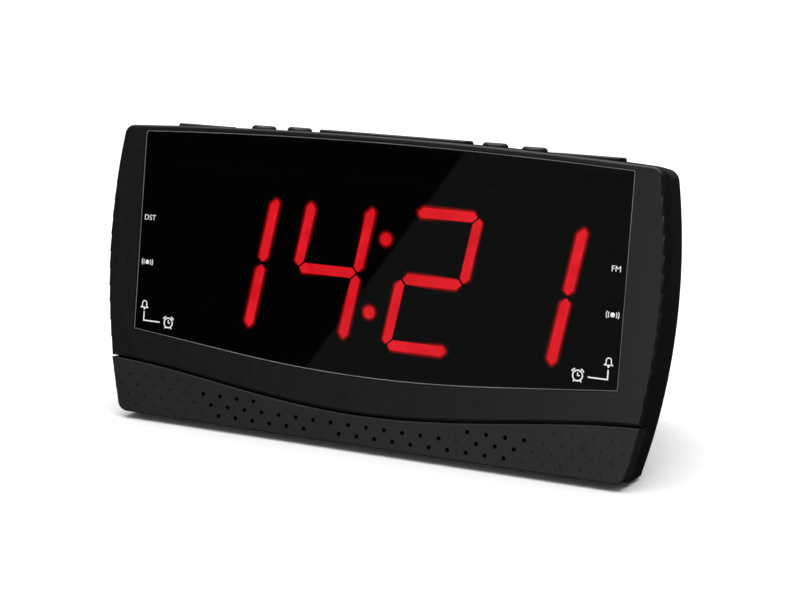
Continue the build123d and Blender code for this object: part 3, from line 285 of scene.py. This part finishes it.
finishes = {
    frame_plastic: ["front_frame"],
    grille_plastic: ["grille_panel"],
    housing_plastic: ["rear_housing", "base_cover", "battery_door"],
    key_plastic: [n for n in frame["nodes"] if n.endswith("_key")] + ["snooze_bar"],
    smoked_acrylic(): ["display_lens"],
    felt(): ["grille_felt"],
    rubber: ["rubber_feet"],
    nylon: ["cord_bush"],
    lit_bar: ["lit_segments", "colon_dots"],
    unlit_epoxy(): ["dark_segments", "indicator_lamps"],
    inner_plastic: ["display_module", "tact_switches", "main_chips", "battery_snap"],
    board: ["display_board", "key_board", "main_board"],
    sleeve: ["capacitors"],
    tinned: ["tuner_can", "speaker_basket", "transformer_bracket"],
    zinc: [n for n in frame["nodes"] if n.endswith("_screws")],
    cone_paper: ["speaker_cone"],
    ferrite: ["speaker_magnet"],
    laminations(): ["transformer_core"],
    wound_tape(): ["transformer_coil"],
}
for material, names in finishes.items():
    for name in names:
        mesh = frame["nodes"][name].data
        mesh.materials.clear()
        mesh.materials.append(material)


# ---- mesh helpers for pieces on the face ----

SHARPEST_MITRE = 0.3


def front_outlines(node):
    """The outer and inner edges of a CAD node's foremost flat faces, as lists of (x, up) points."""
    front = reach(node, OUT)[1]
    copy = bmesh.new()
    copy.from_mesh(frame["nodes"][node].data)
    bmesh.ops.remove_doubles(copy, verts=copy.verts, dist=0.002 * MM)
    foremost = front - 0.01 * MM
    flat = [f for f in copy.faces if f.normal.dot(OUT) > 0.999 and f.verts[0].co.dot(OUT) > foremost]
    faces = dict.fromkeys(flat)  # keeps the mesh's order, so each run walks the outlines the same way
    after = {}
    for f in faces:
        for side in f.loops:
            if not any(o in faces for o in side.edge.link_faces if o is not f):
                after[side.vert] = side.link_loop_next.vert
    outlines = []
    while after:
        vert, following = after.popitem()
        line = [vert]
        while following in after:
            line.append(following)
            following = after.pop(following)
        outlines.append([(v.co.x, v.co.dot(UP_FACE) - FACE_FOOT) for v in line])
    copy.free()
    return outlines


def finished(name, mesh_data, material):
    """Puts a mesh, already in place, on the set's body."""
    made = bpy.data.objects.new(name, mesh_data)
    bpy.context.scene.collection.objects.link(made)
    made.data.materials.append(material)
    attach(made, "radio")
    return made


def solid_sheet(name, quads, plane, thickness, material, shine=None):
    """A thin closed sheet over flat shapes, each a list of (x, up) points, with its back on a plane."""
    sheet = bmesh.new()
    shining = sheet.verts.layers.float.new("shine") if shine else None
    for number, shape in enumerate(quads):
        ends = []
        for out in (plane, plane + thickness):
            verts = [sheet.verts.new(on_plane(x, up, out)) for x, up in shape]
            if shine:
                for vert, value in zip(verts, shine[number]):
                    vert[shining] = value
            ends.append(verts)
        sheet.faces.new(reversed(ends[0]))
        sheet.faces.new(ends[1])
        for a in range(len(shape)):
            b = (a + 1) % len(shape)
            sheet.faces.new((ends[0][a], ends[0][b], ends[1][b], ends[1][a]))
    bmesh.ops.remove_doubles(sheet, verts=sheet.verts, dist=0.001 * MM)
    walls = [f for f in sheet.faces if abs(f.normal.dot(OUT)) < 0.5]
    inner = [f for f in walls if all(len(e.link_faces) > 2 for e in f.edges)]
    bmesh.ops.delete(sheet, geom=inner, context="FACES_ONLY")
    bmesh.ops.recalc_face_normals(sheet, faces=sheet.faces)
    data = bpy.data.meshes.new(name)
    sheet.to_mesh(data)
    sheet.free()
    return finished(name, data, material)


def ribbon(points, width, closed=False):
    """The quads of a stroke of that width along a line of (x, up) points, with mitred corners."""
    places = [Vector(p) for p in points]
    edges = []
    for i, here in enumerate(places):
        before = places[i - 1] if closed or i else None
        after = places[(i + 1) % len(places)] if closed or i + 1 < len(places) else None
        steps = [(a, b) for a, b in ((before, here), (here, after)) if a is not None and b is not None]
        ways = [(b - a).normalized() for a, b in steps]
        way = sum(ways, Vector((0, 0))).normalized()
        side = Vector((-way.y, way.x)) * (width / 2 / max(SHARPEST_MITRE, way.dot(ways[0])))
        edges.append((here + side, here - side))
    pairs = list(zip(edges, edges[1:] + edges[:1])) if closed else list(zip(edges, edges[1:]))
    return [[a[1], b[1], b[0], a[0]] for a, b in pairs]


def arc(x, up, radius, start, end, steps=16):
    """Points along an arc, anticlockwise from start to end in degrees."""
    turns = [math.radians(start + (end - start) * i / steps) for i in range(steps + 1)]
    return [(x + radius * math.cos(t), up + radius * math.sin(t)) for t in turns]


def disc(x, up, radius, steps=24):
    """A round spot."""
    return [arc(x, up, radius, 0, 360, steps)[:-1]]


# ---- glow round the lit bars ----

GLOW_REACH = 1.5 * MM
GLOW_SHARE = 0.45
GLOW_LIFT = 0.02 * MM
GLOW_THICKNESS = 0.01 * MM
glow = glow_film(6.0)


def gap_to(place, lines):
    """Distance from a place to the nearest of some closed outlines."""
    nearest = GLOW_REACH / GLOW_SHARE
    for line in lines:
        for a, b in zip(line, line[1:] + line[:1]):
            share = max(0.0, min(1.0, (place - a).dot(b - a) / (b - a).length_squared))
            nearest = min(nearest, (place - a.lerp(b, share)).length)
    return nearest


def glow_round(name, node):
    """A film on the display's front, from each of a node's lit shapes part way to the next."""
    quads, shine = [], []
    lines = [[Vector(p) for p in line] for line in front_outlines(node)]
    for line in lines:
        others = [other for other in lines if other is not line]
        outer = []
        for i, here in enumerate(line):
            way = (line[(i + 1) % len(line)] - line[i - 1]).normalized()
            reach_here = GLOW_SHARE * gap_to(here, others)
            outer.append(here + Vector((way.y, -way.x)) * reach_here)
        for i in range(len(line)):
            j = (i + 1) % len(line)
            quads.append([line[i], outer[i], outer[j], line[j]])
            shine.append([1, 0, 0, 1])
    solid_sheet(name, quads, MODULE_FRONT + GLOW_LIFT, GLOW_THICKNESS, glow, shine)


glow_round("digit_glow", "lit_segments")
glow_round("colon_glow", "colon_dots")


# ---- white print on the lens: places across and up the face ----

ink = printed_ink()
PRINT_THICKNESS = 0.02 * MM
CAPITAL_SHARE = 0.7
STROKE = 0.42 * MM
MARK_X = 80.5 * MM
TEXT_UP = 61.9 * MM
WAVE_UP = 48.8 * MM
BELL_UP = 35.2 * MM
BRACKET_UP = 30.0 * MM
BRACKET_RISE = 2.9 * MM
BRACKET_RUN = 6.2 * MM
CLOCK_GAP = 3.2 * MM
CLOCK_RISE = 0.1 * MM


def print_marks(name, quads):
    """Screen print on the front of the lens."""
    solid_sheet(name, quads, LENS_FRONT, PRINT_THICKNESS, ink)


def print_word(name, word, x, up, height):
    """A word on the front of the lens, centred on x, standing on up."""
    data = bpy.data.curves.new(name, "FONT")
    data.body = word
    data.size = height / CAPITAL_SHARE
    data.align_x = "CENTER"
    data.extrude = PRINT_THICKNESS / 2
    lettering = bpy.data.objects.new(name, data)
    lettering.rotation_euler = (math.pi / 2 - LEAN, 0, 0)
    lettering.location = on_plane(x, up, LENS_FRONT + PRINT_THICKNESS / 2)
    bpy.context.scene.collection.objects.link(lettering)
    bpy.context.view_layer.update()
    ready = lettering.evaluated_get(bpy.context.evaluated_depsgraph_get())
    shape = bpy.data.meshes.new_from_object(ready)
    shape.transform(lettering.matrix_world)
    bpy.data.objects.remove(lettering)
    finished(name, shape, ink)


def buzzer_mark(x, up):
    """A dot with a sound wave on either side."""
    quads = disc(x, up, 0.72 * MM)
    for radius, half in ((1.35 * MM, 36), (2.0 * MM, 30)):
        quads += ribbon(arc(x, up, radius, -half, half, 8), STROKE * 0.6)
        quads += ribbon(arc(x, up, radius, 180 - half, 180 + half, 8), STROKE * 0.6)
    return quads


def bell_mark(x, up):
    """A bell: a domed outline on a wide lip, with its clapper below."""
    size = 1.0 * MM
    outline = [(x - size * 1.25, up - size), (x - size * 0.8, up - size * 0.45)]
    outline += arc(x, up + size * 0.3, size * 0.8, 180, 0, 10)
    outline += [(x + size * 0.8, up - size * 0.45), (x + size * 1.25, up - size)]
    return ribbon(outline, STROKE * 0.8, closed=True) + disc(x, up - size * 1.45, size * 0.32)


def clock_mark(x, up):
    """An alarm clock: a ring with two hands, two ears and two feet."""
    radius = 1.55 * MM
    quads = ribbon(arc(x, up, radius, 0, 360, 28)[:-1], STROKE, closed=True)
    quads += ribbon([(x, up + radius * 0.6), (x, up), (x + radius * 0.45, up)], STROKE * 0.8)
    for side in (-1, 1):
        ear = arc(x, up, radius * 1.42, 90 - side * 60, 90 - side * 25, 5)
        quads += ribbon(ear, STROKE)
        foot = math.radians(270 + side * 35)
        ends = [radius * share for share in (1.1, 1.45)]
        quads += ribbon([(x + math.cos(foot) * r, up + math.sin(foot) * r) for r in ends], STROKE)
    return quads


for place, side in (("left", -1), ("right", 1)):
    x = side * MARK_X
    corner = (x, BRACKET_UP)
    print_marks("buzzer_mark_" + place, buzzer_mark(x, WAVE_UP))
    print_marks("bell_mark_" + place, bell_mark(x, BELL_UP))
    bracket = [(x, BRACKET_UP + BRACKET_RISE), corner, (x - side * BRACKET_RUN, BRACKET_UP)]
    print_marks("alarm_bracket_" + place, ribbon(bracket, STROKE))
    clock_x = x - side * (BRACKET_RUN + CLOCK_GAP)
    print_marks("clock_mark_" + place, clock_mark(clock_x, BRACKET_UP + CLOCK_RISE))
print_word("summer_time_mark", "DST", -MARK_X, TEXT_UP + 0.4 * MM, 1.7 * MM)
print_word("band_mark", "FM", MARK_X, TEXT_UP - 0.6 * MM, 1.8 * MM)


# ---- painted highlight: a light grey line along the edge of the lens ----

EDGE_RADIUS = 0.18 * MM
EDGE_SINK = 0.3
# Light grey, far lighter than the dark frame round it: a painted highlight along the lens edge. Its low
# roughness adds real gloss as well.
painted_edge_highlight = Shader("painted_edge_highlight", (0.12, 0.12, 0.122), 0.25)
painted_edge_highlight.tint(painted_edge_highlight.noise(8 * MM), (0.1, 0.1, 0.102), (0.14, 0.14, 0.142))


def edge_line(name, outline):
    """A fine rounded light grey line along an edge of the lens: a painted highlight, whose gloss also
    catches real light.
    """
    data = bpy.data.curves.new(name, "CURVE")
    data.dimensions = "3D"
    data.bevel_depth = EDGE_RADIUS
    data.bevel_resolution = 3
    line = data.splines.new("POLY")
    line.points.add(len(outline) - 1)
    line.use_cyclic_u = True
    for point, (x, up) in zip(line.points, outline):
        point.co = (*on_plane(x, up, LENS_FRONT - EDGE_RADIUS * EDGE_SINK), 1)
    return finished(name, data, painted_edge_highlight.material)


edge_line("lens_edge_highlight", max(front_outlines("display_lens"), key=len))


# ---- camera at the photograph's angle ----

VIEW_SIDE = math.radians(27.94)
VIEW_RISE = math.radians(12.67)
VIEW_DISTANCE = 0.6815
VIEW_LENS = 101.66
VIEW_SENSOR = 36
AIM_RISE = 0.04445
AIM = Vector((0, on_plane(0, 0, FACE_FRONT).y, on_plane(0, 0, FACE_FRONT).z + AIM_RISE))
PAN_RIGHT = 0.01358
PAN_UP = 0.00119

level = math.cos(VIEW_RISE)
back = Vector((math.sin(VIEW_SIDE) * level, -math.cos(VIEW_SIDE) * level, math.sin(VIEW_RISE)))
right = Vector((math.cos(VIEW_SIDE), math.sin(VIEW_SIDE), 0))
upward = back.cross(right)
camera = bpy.data.objects.new("camera", bpy.data.cameras.new("camera"))
camera.data.lens = VIEW_LENS
camera.data.sensor_width = VIEW_SENSOR
camera.location = AIM + back * VIEW_DISTANCE + right * PAN_RIGHT + upward * PAN_UP
camera.rotation_mode = "QUATERNION"
camera.rotation_quaternion = back.to_track_quat("Z", "Y")
bpy.context.scene.collection.objects.link(camera)
bpy.context.scene.camera = camera
bpy.context.scene.view_settings.view_transform = "Standard"


# ---- floor and light ----


def stage_plane(name, corners, material):
    """A flat stage piece through its corners."""
    data = bpy.data.meshes.new(name)
    data.from_pydata(corners, [], [list(range(len(corners)))])
    data.materials.append(material)
    made = bpy.data.objects.new(name, data)
    bpy.context.scene.collection.objects.link(made)
    return made


FLOOR_HALF = 6.0
paper = Shader("paper_floor", (0.9, 0.9, 0.9), 0.9, specular_ior_level=0.1)
paper.tint(paper.noise(0.3), (0.89, 0.89, 0.89), (0.91, 0.91, 0.91))
floor_z = cad_box[0].z
corner_signs = ((-1, -1), (1, -1), (1, 1), (-1, 1))
floor_corners = [(sx * FLOOR_HALF, sy * FLOOR_HALF, floor_z) for sx, sy in corner_signs]
floor = stage_plane("floor", floor_corners, paper.material)
floor.visible_glossy = False


def softbox(name, place, aim, size, watts):
    """A square lamp that no camera sees directly."""
    lamp = bpy.data.lights.new(name, "AREA")
    lamp.shape = "SQUARE"
    lamp.size = size
    lamp.energy = watts
    made = bpy.data.objects.new(name, lamp)
    made.location = place
    made.rotation_mode = "QUATERNION"
    made.rotation_quaternion = (Vector(place) - Vector(aim)).to_track_quat("Z", "Y")
    made.visible_camera = False
    bpy.context.scene.collection.objects.link(made)


softbox("top_softbox", (0.1, 0.3, 2.6), (0.1, 0.3, 0), 3.8, 120)
softbox("front_softbox", (0.0, -1.33, 0.13), (0.09, 0, 0.04), 0.3, 3.9)

world = bpy.data.worlds.new("studio")
world.use_nodes = True
bpy.context.scene.world = world
shading = world.node_tree
direction = shading.nodes.new("ShaderNodeTexCoord")
parts = shading.nodes.new("ShaderNodeSeparateXYZ")
shading.links.new(direction.outputs["Generated"], parts.inputs["Vector"])
height = shading.nodes.new("ShaderNodeMapRange")
height.interpolation_type = "SMOOTHSTEP"
height.inputs["From Min"].default_value = 0.1
height.inputs["From Max"].default_value = 0.9
height.inputs["To Min"].default_value = 0.02
height.inputs["To Max"].default_value = 0.8
shading.links.new(parts.outputs["Z"], height.inputs["Value"])
seen = shading.nodes.new("ShaderNodeLightPath")
choice = shading.nodes.new("ShaderNodeMix")
choice.data_type = "FLOAT"
shading.links.new(seen.outputs["Is Camera Ray"], choice.inputs["Factor"])
shading.links.new(height.outputs["Result"], choice.inputs["A"])
choice.inputs["B"].default_value = 1.0
shading.links.new(choice.outputs["Result"], shading.nodes["Background"].inputs["Strength"])
shading.nodes["Background"].inputs["Color"].default_value = (1, 1, 1, 1)


# ---- the softbox whose straight edge shows in the lens: where that edge crosses the lens ----

SHEEN_EDGE = ((30.9 * MM, 94.2 * MM), (-18.9 * MM, 22.7 * MM))
SHEEN_DISTANCE = 1.4
SHEEN_STRENGTH = 0.14
SHEEN_RUN = 1.2


def mirrored(x, up):
    """Where the camera's line of sight to a place on the lens goes on, as far as the card."""
    place = on_plane(x, up, LENS_FRONT)
    way = (place - camera.location).normalized()
    way -= 2 * way.dot(OUT) * OUT
    return place + way * SHEEN_DISTANCE


top_end, low_end = (mirrored(*p) for p in SHEEN_EDGE)
along = (top_end - low_end).normalized()
inward = mirrored(LENS_SIDE, SHEEN_EDGE[1][1]) - low_end
inward = (inward - along * inward.dot(along)).normalized()
start, end = low_end - along * SHEEN_RUN, top_end + along * SHEEN_RUN
card_light = Shader("card_light", (0, 0, 0), 1.0, emission_strength=SHEEN_STRENGTH, specular_ior_level=0.0)
card_light.tint(card_light.noise(2.0), (0.95, 0.95, 0.95), (1, 1, 1), "Emission Color")
card_corners = [start, end, end + inward * SHEEN_RUN, start + inward * SHEEN_RUN]
card = stage_plane("sheen_card", card_corners, card_light.material)
for kind in ("camera", "diffuse", "shadow", "transmission", "volume_scatter"):
    setattr(card, "visible_" + kind, False)
